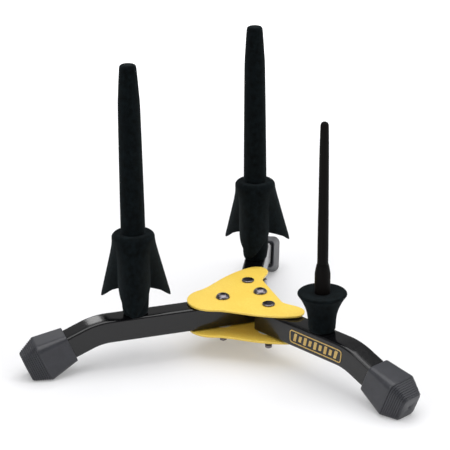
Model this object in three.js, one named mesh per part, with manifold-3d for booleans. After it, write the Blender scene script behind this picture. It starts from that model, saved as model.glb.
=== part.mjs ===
// A folding three-leg bench stand for wind instruments, in millimetres, +Z up, standing on z = 0.
// Two steel plates clamp one fixed leg and two legs that fold about vertical bolts. Each leg is a
// bent rectangular tube with a moulded rubber foot and carries one flocked peg: two finned pegs
// for bell-ended instruments and one slim peg with a trumpet-shaped base.
import * as THREE from "three";
import { mergeVertices } from "three/addons/utils/BufferGeometryUtils.js";
import Module from "manifold-3d";

const wasm = await Module();
wasm.setup();

// Driving dimensions.
const GAP = 0.3; // between pieces that touch
const RUN = 0.2; // radial play of a bore around its bolt

const LEG_WIDTH = 16.8;
const LEG_HEIGHT = 17.6;
const LEG_WALL = 1.5;
const LEG_EDGE = 2; // radius along the tube's long edges
const LEG_TOP = 38.5;
const LEG_INNER_END = 6.5; // past the pivot bolt
const BEND_RADIUS = 46;
const SLOPE = THREE.MathUtils.degToRad(22); // the leg's fall after its bend

const PLATE = 1.8;
const PLATE_GAP = 0.8; // plate to leg, holding a thin washer
const WASHER = 0.35;
const FOLD_SPACING = 23.5; // from the hub's middle to a folding leg's pivot
const OPEN_ANGLE = THREE.MathUtils.degToRad(65);
const OUTER_BOLT_X = -27.7;
const CENTRE_BOLT_X = 1.7;

const BOLT_RADIUS = 3;
const BOLT_END = 5.7; // height of the bolts' lower ends
const NUT_FLATS = 10;
const NUT_HEIGHT = 5.6;
const BUSH_RADIUS = 4.9;
const STOP_PIN_RADIUS = 2;

const FIXED_MOUTH = 144.9; // hub's middle to the mouth of the fixed leg's foot, level
const FOLD_MOUTH = 104.2; // pivot to the mouth of a folding leg's foot, level
const FOOT_INSERT = 19; // length of leg inside its foot
const FOOT = {
  mouth: { at: 0, high: 11.1, wide: 10.2, round: 2.8 },
  swell: { at: 22.15, high: 15.1, wide: 12.9, round: 5 },
  end: { at: 35.35, wide: 8.5, round: 3 },
};
const FOOT_RIBS = 9;
const RIB_DEPTH = 0.4;

const FIXED_PEG = 94.7; // hub's middle to the fixed leg's peg
const FOLD_PEG = 54; // pivot to a folding leg's peg
const PEG_FOOT = LEG_TOP + GAP;
const COLLAR_TOP = 103.4;
const COLLAR_RADIUS = 15.9;
const LOBE_RADIUS = 30; // to the tips of the base's three lobes
const LOBE_TIP = 47.5;
const VALLEY_RADIUS = 13.6;
const ARCH_TOP = 60.3; // the rim's height in the valleys between lobes
// How far each base is turned from one lobe pointing straight at the hub.
const LEFT_LOBE_TURN = THREE.MathUtils.degToRad(13);
const REAR_LOBE_TURN = THREE.MathUtils.degToRad(-1);
const STICK_TOP = 225.8;
const STICK_RADIUS = 9;
const STICK_SHOULDER = 201;
const SPIGOT_RADIUS = 5;
const SPIGOT_DEPTH = 18;

const TRUMPET_TOP = 68.1;
const TRUMPET_RADIUS = 17.6;
const FERRULE_RADIUS = 5.6;
const FERRULE_TOP = 83;
const ROD_TOP = 193.4;
const ROD_RADIUS = 3.9;

const STUD_TOP = 60;
const STUD_BOTTOM = 27;
const INSERT_BOTTOM = 25.5;

const BADGE = { from: 30.5, to: 73, low: 24.2, high: 34.2, thick: 0.4 };

const UPPER_PLATE = LEG_TOP + PLATE_GAP;
const LEG_BOTTOM = LEG_TOP - LEG_HEIGHT;
const LOWER_PLATE = LEG_BOTTOM - PLATE_GAP - PLATE;
const LEG_MIDDLE = LEG_TOP - LEG_HEIGHT / 2;
FOOT.end.high = FOOT.swell.high - (FOOT.end.at - FOOT.swell.at) * Math.tan(SLOPE);
const FLOOR_DROP = 1.02; // the floor lies this far below the zero of the heights here
const FOOT_REACH = FOOT.swell.at * Math.sin(SLOPE) + FOOT.swell.high * Math.cos(SLOPE);
const MOUTH_HEIGHT = FOOT_REACH - FLOOR_DROP;

const material = (color, roughness, metalness) =>
  new THREE.MeshStandardMaterial({ color, roughness, metalness });
const FINISH = {
  powderYellow: material(0xf7d55c, 0.45, 0),
  paintBlack: material(0x232324, 0.35, 0),
  rubber: material(0x505156, 0.7, 0),
  velvet: material(0x11181a, 0.95, 0),
  rod: material(0x17110e, 0.6, 0),
  gunmetal: material(0x6d6a70, 0.3, 1),
  steel: material(0x9a9c9f, 0.4, 1),
  nylon: material(0xe8e6df, 0.6, 0),
  blackOxide: material(0x1c1b1b, 0.45, 0.6),
  goldPrint: material(0xd9bd76, 0.5, 0),
};

// Solids: a three.js geometry becomes a manifold solid, is cut or joined, and comes back.
function solid(geometry) {
  const plain = geometry.index ? geometry.toNonIndexed() : geometry;
  const positions = new THREE.BufferGeometry();
  positions.setAttribute("position", plain.getAttribute("position"));
  const merged = mergeVertices(positions, 1e-3);
  return new wasm.Manifold(
    new wasm.Mesh({
      numProp: 3,
      vertProperties: merged.getAttribute("position").array,
      triVerts: new Uint32Array(merged.index.array),
    }),
  );
}

function geometryOf(manifold) {
  const mesh = manifold.getMesh();
  const positions = new Float32Array(mesh.numVert * 3);
  for (let i = 0; i < mesh.numVert; i++) {
    positions.set(mesh.vertProperties.subarray(i * mesh.numProp, i * mesh.numProp + 3), i * 3);
  }
  const geometry = new THREE.BufferGeometry();
  geometry.setAttribute("position", new THREE.BufferAttribute(positions, 3));
  geometry.setIndex(new THREE.BufferAttribute(mesh.triVerts, 1));
  return geometry;
}

// A body turned about +Z from [radius, height] points that run upwards on the outside.
function turned(points, segments = 20) {
  const outline = points.map(([radius, height]) => new THREE.Vector2(radius, height));
  return new THREE.LatheGeometry(outline, segments).rotateX(Math.PI / 2);
}

const rod = (radius, low, high, segments = 16) =>
  turned([[0, low], [radius, low], [radius, high], [0, high]], segments);

const sleeve = (inner, outer, low, high, segments) =>
  turned([[inner, low], [outer, low], [outer, high], [inner, high], [inner, low]], segments);

// A quarter round from the side of a turned body to its top, as [radius, height] points.
function shoulder(radius, top, round, steps) {
  return Array.from({ length: steps + 1 }, (_, i) => {
    const angle = (i / steps) * (Math.PI / 2);
    return [radius - round * (1 - Math.cos(angle)), top - round * (1 - Math.sin(angle))];
  });
}

const box = (x0, x1, y0, y1, z0, z1) =>
  new THREE.BoxGeometry(x1 - x0, y1 - y0, z1 - z0).translate(
    (x0 + x1) / 2,
    (y0 + y1) / 2,
    (z0 + z1) / 2,
  );

function mesh(name, geometry, finish) {
  const piece = new THREE.Mesh(geometry, finish);
  piece.name = name;
  return piece;
}

// Hub plates: one lobe along the fixed leg and a smaller one over each folding leg.
const LOBE = {
  big: { x: -35, radius: 19.7, from: THREE.MathUtils.degToRad(108) },
  small: { x: 12.5, y: 40, radius: 9, from: 105, to: -20 },
};
const STRAIGHT_EDGE_X = 11.2;
const STRAIGHT_EDGE_Y = 21;

function plateOutline() {
  const { big, small } = LOBE;
  const shape = new THREE.Shape();
  const start = THREE.MathUtils.degToRad(small.from);
  const stop = THREE.MathUtils.degToRad(small.to);
  const top = [small.x + small.radius * Math.cos(start), small.y + small.radius * Math.sin(start)];
  const side = [small.x + small.radius * Math.cos(stop), small.y + small.radius * Math.sin(stop)];
  const meet = [big.x + big.radius * Math.cos(big.from), big.radius * Math.sin(big.from)];
  const leave = [meet[0] + 14 * Math.sin(big.from), meet[1] - 14 * Math.cos(big.from)];
  const arrive = [top[0] - 27 * Math.sin(start), top[1] + 27 * Math.cos(start)];
  shape.moveTo(STRAIGHT_EDGE_X, -STRAIGHT_EDGE_Y);
  shape.lineTo(STRAIGHT_EDGE_X, STRAIGHT_EDGE_Y);
  shape.bezierCurveTo(STRAIGHT_EDGE_X + 0.3, 26.5, side[0] - 2.4, side[1] - 6.6, side[0], side[1]);
  shape.absarc(small.x, small.y, small.radius, stop, start, false);
  shape.bezierCurveTo(arrive[0], arrive[1], leave[0], leave[1], meet[0], meet[1]);
  shape.absarc(big.x, 0, big.radius, big.from, 2 * Math.PI - big.from, false);
  shape.bezierCurveTo(leave[0], -leave[1], arrive[0], -arrive[1], top[0], -top[1]);
  shape.absarc(small.x, -small.y, small.radius, -start, -stop, false);
  const back = [STRAIGHT_EDGE_X, -STRAIGHT_EDGE_Y];
  shape.bezierCurveTo(side[0] - 2.4, 6.6 - side[1], back[0] + 0.3, -26.5, back[0], back[1]);
  return shape;
}

const BOLTS = [
  { name: "outer", x: OUTER_BOLT_X, y: 0, pivot: false },
  { name: "centre", x: CENTRE_BOLT_X, y: 0, pivot: false },
  { name: "rear_pivot", x: 0, y: FOLD_SPACING, pivot: true },
  { name: "right_pivot", x: 0, y: -FOLD_SPACING, pivot: true },
];

function hubPlate(name, low) {
  const outline = plateOutline();
  for (const bolt of BOLTS) {
    const hole = new THREE.Path();
    hole.absarc(bolt.x, bolt.y, BOLT_RADIUS + GAP, 0, 2 * Math.PI, true);
    outline.holes.push(hole);
  }
  const geometry = new THREE.ExtrudeGeometry(outline, {
    depth: PLATE,
    bevelEnabled: false,
    curveSegments: 8,
  });
  return mesh(name, geometry.translate(0, 0, low), FINISH.powderYellow);
}

// A bolt through both plates: a button head with a hexagon socket, or a low flat head on a pivot.
function hubBolt({ name, x, y, pivot }) {
  const seat = UPPER_PLATE + PLATE + GAP / 2;
  const head = pivot
    ? [[4.7, seat], [4.7, seat + 0.9], [4.2, seat + 1.5], [0, seat + 1.5]]
    : [
        [5.25, seat], [5.25, seat + 0.5], [4.6, seat + 1.7], [3.4, seat + 2.6],
        [1.8, seat + 3.1], [0, seat + 3.2],
      ];
  const profile = [
    [0, BOLT_END],
    [1.6, BOLT_END + 0.25],
    [BOLT_RADIUS - 0.5, BOLT_END + 1],
    [BOLT_RADIUS, BOLT_END + 2.2],
    [BOLT_RADIUS, seat],
    ...head,
  ];
  let geometry = turned(profile);
  if (!pivot) {
    const socket = turned([[0, seat + 1], [1.75, seat + 1], [1.75, seat + 4], [0, seat + 4]], 6);
    geometry = geometryOf(solid(geometry).subtract(solid(socket)));
  }
  return mesh(name + "_bolt", geometry.translate(x, y, 0), FINISH.gunmetal);
}

function hubNut({ name, x, y }) {
  const top = LOWER_PLATE - GAP / 2;
  const flange = solid(rod(6.3, top - 1, top));
  const hexagon = solid(
    turned([[0, top - NUT_HEIGHT], [NUT_FLATS / Math.sqrt(3), top - NUT_HEIGHT],
      [NUT_FLATS / Math.sqrt(3), top - 0.5], [0, top - 0.5]], 6),
  );
  const bore = solid(rod(BOLT_RADIUS + RUN, top - NUT_HEIGHT - 1, top + 1));
  const geometry = geometryOf(flange.add(hexagon).subtract(bore));
  return mesh(name + "_nut", geometry.translate(x, y, 0), FINISH.blackOxide);
}

function hubWasher({ name, x, y }, side, low) {
  const geometry = sleeve(BOLT_RADIUS + RUN, 7.8, low, low + WASHER, 16);
  return mesh(name + "_washer_" + side, geometry.translate(x, y, 0), FINISH.nylon);
}

// The steel tube inside a leg that takes the clamping load of its bolt.
function spacer(name, x) {
  const inner = { low: LEG_BOTTOM + LEG_WALL + GAP, high: LEG_TOP - LEG_WALL - GAP };
  const geometry = sleeve(BOLT_RADIUS + RUN, BUSH_RADIUS, inner.low, inner.high, 16);
  return mesh(name, geometry.translate(x, 0, 0), FINISH.steel);
}

function stopPin(name, side) {
  const along = 18;
  const aside = LEG_WIDTH / 2 + GAP + STOP_PIN_RADIUS;
  const x = along * Math.cos(OPEN_ANGLE) + aside * Math.sin(OPEN_ANGLE);
  const y = FOLD_SPACING + along * Math.sin(OPEN_ANGLE) - aside * Math.cos(OPEN_ANGLE);
  const geometry = rod(STOP_PIN_RADIUS, LOWER_PLATE + PLATE + GAP, LEG_TOP - 3, 16);
  return mesh(name, geometry.translate(x, side * y, 0), FINISH.steel);
}

// Legs lie along their own +X, with the pivot or the hub's middle at x = 0.
// The outline of a leg seen from the side, moved in by an inset, from x = start to its outer end.
function legSide(mouth, start, inset) {
  const straight = (LEG_MIDDLE - BEND_RADIUS * (1 - Math.cos(SLOPE)) - MOUTH_HEIGHT) / Math.sin(SLOPE);
  const bend = mouth - straight * Math.cos(SLOPE) - BEND_RADIUS * Math.sin(SLOPE);
  const centre = LEG_MIDDLE - BEND_RADIUS;
  const half = LEG_HEIGHT / 2 - inset;
  const outer = BEND_RADIUS + half;
  const inner = BEND_RADIUS - half;
  const reach = straight + FOOT_INSERT;
  const along = [Math.cos(SLOPE), -Math.sin(SLOPE)];
  const away = [Math.sin(SLOPE), Math.cos(SLOPE)];
  const tip = (radius) => [
    bend + radius * away[0] + reach * along[0],
    centre + radius * away[1] + reach * along[1],
  ];
  const shape = new THREE.Shape();
  shape.moveTo(start, LEG_MIDDLE - half);
  shape.lineTo(bend, LEG_MIDDLE - half);
  shape.absarc(bend, centre, inner, Math.PI / 2, Math.PI / 2 - SLOPE, true);
  shape.lineTo(...tip(inner));
  shape.lineTo(...tip(outer));
  shape.absarc(bend, centre, outer, Math.PI / 2 - SLOPE, Math.PI / 2, false);
  shape.lineTo(start, LEG_MIDDLE + half);
  shape.closePath();
  return shape;
}

// The side outline made solid across the leg's width, with rounded long edges.
function legBar(mouth, start, inset, edge) {
  const width = LEG_WIDTH - 2 * inset;
  const geometry = new THREE.ExtrudeGeometry(legSide(mouth, start, inset), {
    depth: width - 2 * edge,
    bevelThickness: edge,
    bevelSize: edge,
    bevelOffset: -edge,
    bevelSegments: 2,
    curveSegments: 4,
  });
  return solid(geometry.translate(0, 0, edge - width / 2).rotateX(Math.PI / 2));
}

function legTube(name, mouth, innerEnd, bolts, peg) {
  const past = 12; // beyond each end before it is cut square
  let tube = legBar(mouth, innerEnd - past, 0, LEG_EDGE);
  tube = tube.subtract(legBar(mouth, innerEnd - past - 1, LEG_WALL, 0.8));
  tube = tube.subtract(solid(box(innerEnd - 2 * past, innerEnd, -20, 20, 0, 60)));
  for (const { x, radius } of bolts) {
    tube = tube.subtract(solid(rod(radius, LEG_BOTTOM - 2, LEG_TOP + 2).translate(x, 0, 0)));
  }
  tube = tube.subtract(solid(rod(4.9, LEG_MIDDLE, LEG_TOP + 2).translate(peg, 0, 0)));
  return mesh(name, geometryOf(tube), FINISH.paintBlack);
}

// A ring of a rounded rectangle across the foot's own axis.
const RING_CORNER = 3;
function footRing({ at, high, wide, round }) {
  const points = [];
  for (const [sy, sz, turn] of [[1, 1, 0], [-1, 1, 1], [-1, -1, 2], [1, -1, 3]]) {
    for (let i = 0; i <= RING_CORNER; i++) {
      const angle = (turn + i / RING_CORNER) * (Math.PI / 2);
      points.push([
        at,
        sy * (wide - round) + round * Math.cos(angle),
        sz * (high - round) + round * Math.sin(angle),
      ]);
    }
  }
  return points;
}

const between = (a, b, t) =>
  Object.fromEntries(Object.keys(a).map((key) => [key, a[key] + (b[key] - a[key]) * t]));

// A closed skin over a row of rings that run along +X.
function loft(rings) {
  const size = rings[0].length;
  const positions = rings.flat(2);
  const faces = [];
  const middle = (ring) => ring.reduce((sum, p) => sum.map((v, i) => v + p[i] / size), [0, 0, 0]);
  positions.push(...middle(rings[0]), ...middle(rings[rings.length - 1]));
  const first = rings.length * size;
  for (let k = 0; k < size; k++) {
    const next = (k + 1) % size;
    for (let r = 0; r + 1 < rings.length; r++) {
      const [a, b] = [r * size + k, r * size + next];
      faces.push(a, b, b + size, a, b + size, a + size);
    }
    faces.push(first, next, k);
    faces.push(first + 1, first - size + k, first - size + next);
  }
  const geometry = new THREE.BufferGeometry();
  geometry.setAttribute("position", new THREE.Float32BufferAttribute(positions, 3));
  geometry.setIndex(faces);
  return geometry;
}

// A rubber foot: it swells from its mouth, then narrows in ribs to its end. One ribbed side
// lies flat on the floor.
function foot(name, mouth) {
  const rings = [FOOT.mouth, FOOT.swell];
  for (let i = 0; i < FOOT_RIBS; i++) {
    const land = between(FOOT.swell, FOOT.end, (i + 0.62) / FOOT_RIBS);
    const groove = between(FOOT.swell, FOOT.end, (i + 0.81) / FOOT_RIBS);
    const next = between(FOOT.swell, FOOT.end, (i + 1) / FOOT_RIBS);
    groove.high -= RIB_DEPTH;
    groove.wide -= RIB_DEPTH;
    rings.push(land, groove, next);
  }
  const socket = ["high", "wide"].map((key) => (key === "high" ? LEG_HEIGHT : LEG_WIDTH) / 2 + GAP);
  const cavity = loft(
    [-5, FOOT_INSERT + GAP].map((at) =>
      footRing({ at, high: socket[0], wide: socket[1], round: LEG_EDGE }),
    ),
  );
  const shell = solid(loft(rings.map(footRing))).subtract(solid(cavity));
  const geometry = geometryOf(shell).rotateY(SLOPE).translate(mouth, 0, MOUTH_HEIGHT);
  return mesh(name, geometry, FINISH.rubber);
}

// Pegs stand at their own origin. A lobed base flares from its collar into three pointed lobes
// whose rim rises in an arch between them, over a plain core that stands on the leg.
// How far out a lobe is at an angle from its middle: 1 at its tip, 0 in the valley.
function lobeShare(angle) {
  const off = Math.abs(((((angle / Math.PI) * 180) % 120) + 180) % 120 - 60);
  return Math.max(0, 1 - (Math.hypot(off, 5) - 5) / 60) ** 1.6;
}

const rimHeight = (share) => LOBE_TIP + (ARCH_TOP - LOBE_TIP) * (1 - share) ** 1.15;

// The outer surface's radius at a height, for a lobe share.
function flankRadius(share, height) {
  const drop = (COLLAR_TOP - 6 - height) / (COLLAR_TOP - 6 - LOBE_TIP);
  const tip = COLLAR_RADIUS + (LOBE_RADIUS - COLLAR_RADIUS) * drop;
  const valley = VALLEY_RADIUS + (COLLAR_RADIUS - VALLEY_RADIUS) * Math.max(0, 1 - drop * 3) ** 2;
  return valley + (tip - valley) * share;
}

const LOBE_STEPS = 36;
function lobedBase() {
  const rings = [];
  const ring = (radius, height) => {
    const points = [];
    for (let i = 0; i < LOBE_STEPS; i++) {
      const angle = (i / LOBE_STEPS) * 2 * Math.PI;
      const share = lobeShare(angle);
      const [r, z] = [radius(share), height(share)];
      points.push([r * Math.cos(angle), r * Math.sin(angle), z]);
    }
    rings.push(points);
  };
  ring(() => 8.4, () => PEG_FOOT);
  ring(() => 9.2, () => PEG_FOOT + 0.8);
  ring(() => 9.9, () => 46.5);
  ring(() => 10.6, (share) => rimHeight(share) + 1.5 + 9 * share);
  ring((share) => 11 + 8 * share, (share) => rimHeight(share) + 0.6 + 7 * share);
  ring((share) => 12.2 + (LOBE_RADIUS - 13.4) * share, rimHeight);
  for (let i = 0; i <= 4; i++) {
    const rise = (share) => rimHeight(share) + 0.8 + (i / 4) * (COLLAR_TOP - 6.8 - rimHeight(share));
    ring((share) => flankRadius(share, rise(share)), rise);
  }
  for (const [radius, height] of shoulder(COLLAR_RADIUS, COLLAR_TOP, 3, 3)) {
    ring(() => radius, () => height);
  }
  return loft(rings);
}

// The blind bore for the stud, with a recess over the insert's flange, and the stick's socket.
function pegBores(socketFloor, socketTop, socketRadius) {
  const stud = turned([[0, PEG_FOOT - 1], [6.5, PEG_FOOT - 1], [6.5, PEG_FOOT + 1.2],
    [BOLT_RADIUS + RUN, PEG_FOOT + 1.2], [BOLT_RADIUS + RUN, STUD_TOP + GAP], [0, STUD_TOP + GAP]], 20);
  const socket = rod(socketRadius, socketFloor, socketTop + 5, 20);
  return solid(stud).add(solid(socket));
}

function finnedBase(name, turn) {
  const bores = pegBores(COLLAR_TOP - SPIGOT_DEPTH, COLLAR_TOP, SPIGOT_RADIUS + GAP);
  const base = solid(lobedBase().rotateZ(Math.PI + turn)).subtract(bores);
  return mesh(name, geometryOf(base), FINISH.velvet);
}

function stick(name) {
  const low = COLLAR_TOP + GAP;
  const spigot = COLLAR_TOP - SPIGOT_DEPTH + GAP;
  const profile = [
    [0, spigot], [SPIGOT_RADIUS, spigot], [SPIGOT_RADIUS, low], [STICK_RADIUS, low],
    [STICK_RADIUS - 0.2, 120], [STICK_RADIUS - 0.6, 160], [7.8, STICK_SHOULDER], [6.9, 213],
    ...shoulder(6.2, STICK_TOP, 2.6, 3), [0, STICK_TOP],
  ];
  return mesh(name, turned(profile), FINISH.velvet);
}

function trumpetBase(name) {
  const profile = [
    [0, PEG_FOOT], [8.2, PEG_FOOT], [9.5, PEG_FOOT + 1], [10, PEG_FOOT + 3], [10, 46.5],
    [10.4, 50], [11.3, 54], [12.7, 58], [14.4, 61.7], [16.6, 65], [TRUMPET_RADIUS, 66.6],
    [17.1, TRUMPET_TOP - 0.3], [15.9, TRUMPET_TOP], [0, TRUMPET_TOP - 0.6],
  ];
  const base = solid(turned(profile, 24)).subtract(
    pegBores(STUD_TOP + 3, TRUMPET_TOP, 2.5 + GAP),
  );
  return mesh(name, geometryOf(base), FINISH.velvet);
}

function ferrule(name) {
  const low = TRUMPET_TOP + GAP;
  const profile = [
    [ROD_RADIUS + RUN, low], [FERRULE_RADIUS, low], [FERRULE_RADIUS, FERRULE_TOP],
    [4.6, FERRULE_TOP + 6], [ROD_RADIUS + RUN, FERRULE_TOP + 6.2], [ROD_RADIUS + RUN, low],
  ];
  return mesh(name, turned(profile, 20), FINISH.rod);
}

function slimRod(name) {
  const step = TRUMPET_TOP + GAP;
  const profile = [
    [0, STUD_TOP + 3 + GAP], [2.5, STUD_TOP + 3 + GAP], [2.5, step], [ROD_RADIUS, step],
    [ROD_RADIUS, 111], [3.6, 138], [3.4, 165], [3.1, 189], ...shoulder(3.1, ROD_TOP, 3, 3).slice(1),
    [0, ROD_TOP],
  ];
  return mesh(name, turned(profile, 20), FINISH.rod);
}

const stud = (name) =>
  mesh(name, rod(BOLT_RADIUS - RUN, STUD_BOTTOM, STUD_TOP, 16), FINISH.steel);

// The threaded insert set in the top wall of a leg, its flange above and its bulge below.
function insertNut(name) {
  const wall = LEG_TOP - LEG_WALL;
  const profile = [
    [BOLT_RADIUS, INSERT_BOTTOM], [4.6, INSERT_BOTTOM], [4.6, wall - 2.8], [6, wall - 2],
    [6, wall - 0.7], [4.6, wall - GAP], [4.6, LEG_TOP + GAP], [6, LEG_TOP + GAP],
    [6, LEG_TOP + 1], [BOLT_RADIUS, LEG_TOP + 1], [BOLT_RADIUS, INSERT_BOTTOM],
  ];
  return mesh(name, turned(profile, 12), FINISH.steel);
}

function peg(kind, name, x, turn) {
  const group = new THREE.Group();
  group.position.x = x;
  group.add(stud(name + "_peg_stud"), insertNut(name + "_peg_insert"));
  if (kind === "finned") {
    group.add(finnedBase(name + "_peg_base", turn), stick(name + "_peg_stick"));
  } else {
    group.add(trumpetBase(name + "_peg_base"), slimRod(name + "_peg_rod"), ferrule(name + "_peg_ferrule"));
  }
  return group;
}

// The thin printed badge on the outer side of the right leg.
function badge(name) {
  const side = -LEG_WIDTH / 2 - 0.15;
  const geometry = box(BADGE.from, BADGE.to, side - BADGE.thick, side, BADGE.low, BADGE.high);
  return mesh(name, geometry, FINISH.goldPrint);
}

function foldingLeg(name, side, kind) {
  const group = new THREE.Group();
  group.position.y = side * FOLD_SPACING;
  group.rotation.z = side * OPEN_ANGLE;
  const bore = [{ x: 0, radius: BUSH_RADIUS + RUN }];
  const bush = sleeve(BOLT_RADIUS + RUN, BUSH_RADIUS, LEG_BOTTOM, LEG_TOP, 16);
  group.add(
    legTube(name + "_leg", FOLD_MOUTH, -LEG_INNER_END, bore, FOLD_PEG),
    foot(name + "_foot", FOLD_MOUTH),
    mesh(name + "_pivot_bush", bush, FINISH.steel),
    peg(kind, name, FOLD_PEG, REAR_LOBE_TURN),
  );
  return group;
}

function fixedLeg() {
  const group = new THREE.Group();
  group.rotation.z = Math.PI;
  const bores = [OUTER_BOLT_X, CENTRE_BOLT_X].map((x) => ({ x: -x, radius: BOLT_RADIUS + GAP }));
  group.add(
    legTube("left_leg", FIXED_MOUTH, -CENTRE_BOLT_X - LEG_INNER_END, bores, FIXED_PEG),
    foot("left_foot", FIXED_MOUTH),
    peg("finned", "left", FIXED_PEG, LEFT_LOBE_TURN),
    spacer("outer_spacer", -OUTER_BOLT_X),
    spacer("centre_spacer", -CENTRE_BOLT_X),
  );
  return group;
}

const stand = new THREE.Group();
stand.add(hubPlate("upper_plate", UPPER_PLATE), hubPlate("lower_plate", LOWER_PLATE));
for (const bolt of BOLTS) {
  stand.add(
    hubBolt(bolt),
    hubNut(bolt),
    hubWasher(bolt, "upper", UPPER_PLATE - 0.15 - WASHER),
    hubWasher(bolt, "lower", LOWER_PLATE + PLATE + 0.15),
  );
}
stand.add(stopPin("rear_stop_pin", 1), stopPin("right_stop_pin", -1), fixedLeg());
const right = foldingLeg("right", -1, "slim");
right.add(badge("right_leg_badge"));
stand.add(foldingLeg("rear", 1, "finned"), right);

// The origin is on the floor, under the middle of the stand's box.
stand.updateMatrixWorld(true);
const whole = new THREE.Box3().setFromObject(stand, true);
stand.position.set(-(whole.min.x + whole.max.x) / 2, 0, -whole.min.z);

export default stand;
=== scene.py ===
"""Looks of a folding three-peg stand for woodwind instruments.

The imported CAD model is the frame. Every piece that shows gets a fine surface worked out with
numpy, where the frame has it, and a procedural finish. The stand is a hub of two powder-coated
plates, three bent tube legs with moulded rubber feet, two velvet pegs with lobed bases, one slim
rod peg on a velvet trumpet, and a printed badge.
"""

import logging
import math
from collections.abc import Sequence
from dataclasses import dataclass, field
from enum import Enum

import bpy
import numpy as np
from mathutils import Matrix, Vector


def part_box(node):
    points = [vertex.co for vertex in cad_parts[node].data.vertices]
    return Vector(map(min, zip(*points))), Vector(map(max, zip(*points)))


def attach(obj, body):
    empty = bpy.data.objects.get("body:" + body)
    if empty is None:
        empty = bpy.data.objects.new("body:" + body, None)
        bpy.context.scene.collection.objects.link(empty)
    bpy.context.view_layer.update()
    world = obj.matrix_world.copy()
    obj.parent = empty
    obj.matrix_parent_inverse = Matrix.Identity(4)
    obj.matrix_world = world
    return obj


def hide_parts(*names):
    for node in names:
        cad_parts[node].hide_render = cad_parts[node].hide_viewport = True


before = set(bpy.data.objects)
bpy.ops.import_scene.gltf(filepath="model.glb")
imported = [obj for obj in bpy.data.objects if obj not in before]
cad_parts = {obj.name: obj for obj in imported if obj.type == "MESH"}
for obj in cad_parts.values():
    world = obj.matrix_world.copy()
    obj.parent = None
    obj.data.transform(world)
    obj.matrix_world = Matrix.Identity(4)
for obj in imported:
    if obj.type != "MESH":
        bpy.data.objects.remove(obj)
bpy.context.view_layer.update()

LOG = logging.getLogger("stand")
MM = 0.001
TURN = 2.0 * math.pi
# Millimetres and radians. The floor lies FLOOR_DROP below the zero of the heights here, and the
# mouths of the feet and the pegs are measured from the hub's middle or from a leg's pivot.
FLOOR_DROP = 1.02
FIXED_MOUTH, FOLD_MOUTH = 144.9, 104.2
FIXED_PEG, FOLD_PEG = 94.7, 54.0
LEG_SPREAD = math.radians(65)
PEG_FOOT = 38.8
Points = np.ndarray


# ----------------------------------------------------------------------------- surfaces


def arc(centre: Sequence[float], radius: float, start: float, stop: float, count: int) -> Points:
    """Points on a circle: centre + radius (cos a, sin a), with a from start to stop.

    Args:
        centre: The circle's centre.
        radius: Its radius.
        start: First angle in degrees.
        stop: Last angle in degrees.
        count: Number of points.

    Returns:
        An array of (count, 2).
    """
    angle = np.radians(np.linspace(start, stop, count))
    return np.asarray(centre) + radius * np.stack([np.cos(angle), np.sin(angle)], axis=-1)


def bezier(corners: Sequence[Sequence[float]], count: int) -> Points:
    """A cubic curve: the corners weighted by (1-t)^3, 3t(1-t)^2, 3t^2(1-t) and t^3.

    Args:
        corners: The four control points.
        count: Number of points.

    Returns:
        An array of (count, 2).
    """
    t = np.linspace(0.0, 1.0, count)[:, None]
    p = np.asarray(corners, float)
    return (
        (1 - t) ** 3 * p[0] + 3 * t * (1 - t) ** 2 * p[1] + 3 * t**2 * (1 - t) * p[2] + t**3 * p[3]
    )


def even_loop(outline: Points, count: int) -> Points:
    """A closed outline with its points an equal distance apart along it.

    Args:
        outline: Points round the outline, (n, 2).
        count: Number of points wanted.

    Returns:
        An array of (count, 2).
    """
    loop = np.vstack([outline, outline[:1]])
    step = np.linalg.norm(np.diff(loop, axis=0), axis=1)
    loop = loop[np.concatenate([[True], step > 1e-6])]
    length = np.concatenate([[0.0], np.cumsum(np.linalg.norm(np.diff(loop, axis=0), axis=1))])
    at = np.linspace(0.0, length[-1], count, endpoint=False)
    return np.stack([np.interp(at, length, loop[:, k]) for k in range(2)], axis=-1)


def inset(outline: Points, distance: float) -> Points:
    """An anticlockwise outline moved inwards: each point less distance times its outward normal.

    Args:
        outline: The outline, (n, 2).
        distance: How far it moves in.

    Returns:
        An array of the same shape.
    """
    along = np.roll(outline, -1, axis=0) - np.roll(outline, 1, axis=0)
    along /= np.linalg.norm(along, axis=1, keepdims=True)
    return outline - distance * np.stack([along[:, 1], -along[:, 0]], axis=-1)


def rounded_rectangle(
    half_width: Points, half_height: Points, corner: Points, steps: int = 6, fill: int = 3
) -> Points:
    """Rings of a rectangle with quarter-circle corners, for one size or a row of sizes.

    Each corner point is the corner circle's centre plus the corner radius times (cos a, sin a).
    Between two corners the side has fill extra points.

    Args:
        half_width: Half the width of each ring.
        half_height: Half the height of each ring.
        corner: Corner radius of each ring.
        steps: Steps round a corner.
        fill: Extra points on each side.

    Returns:
        An array of (rings, points, 2), anticlockwise.
    """
    sizes = (half_width, half_height, corner)
    wide, high, radius = (np.atleast_1d(np.asarray(v, float))[:, None, None] for v in sizes)
    sign = np.array([[1, 1], [-1, 1], [-1, -1], [1, -1]], float)
    angle = (np.arange(4)[:, None] + np.linspace(0, 1, steps + 1)[None, :]) * (math.pi / 2)
    spread = np.stack([np.cos(angle), np.sin(angle)], axis=-1)
    half = np.concatenate([wide, high], axis=-1)
    centres = (half - radius)[:, :, None, :] * sign[None, :, None, :]
    corners = centres + radius[:, :, None, :] * spread[None]
    share = np.linspace(0, 1, fill + 2)[1:-1][None, None, :, None]
    last, first = corners[:, :, -1:, :], np.roll(corners, -1, axis=1)[:, :, :1, :]
    sides = last * (1 - share) + first * share
    return np.concatenate([corners, sides], axis=2).reshape(corners.shape[0], -1, 2)


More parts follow.
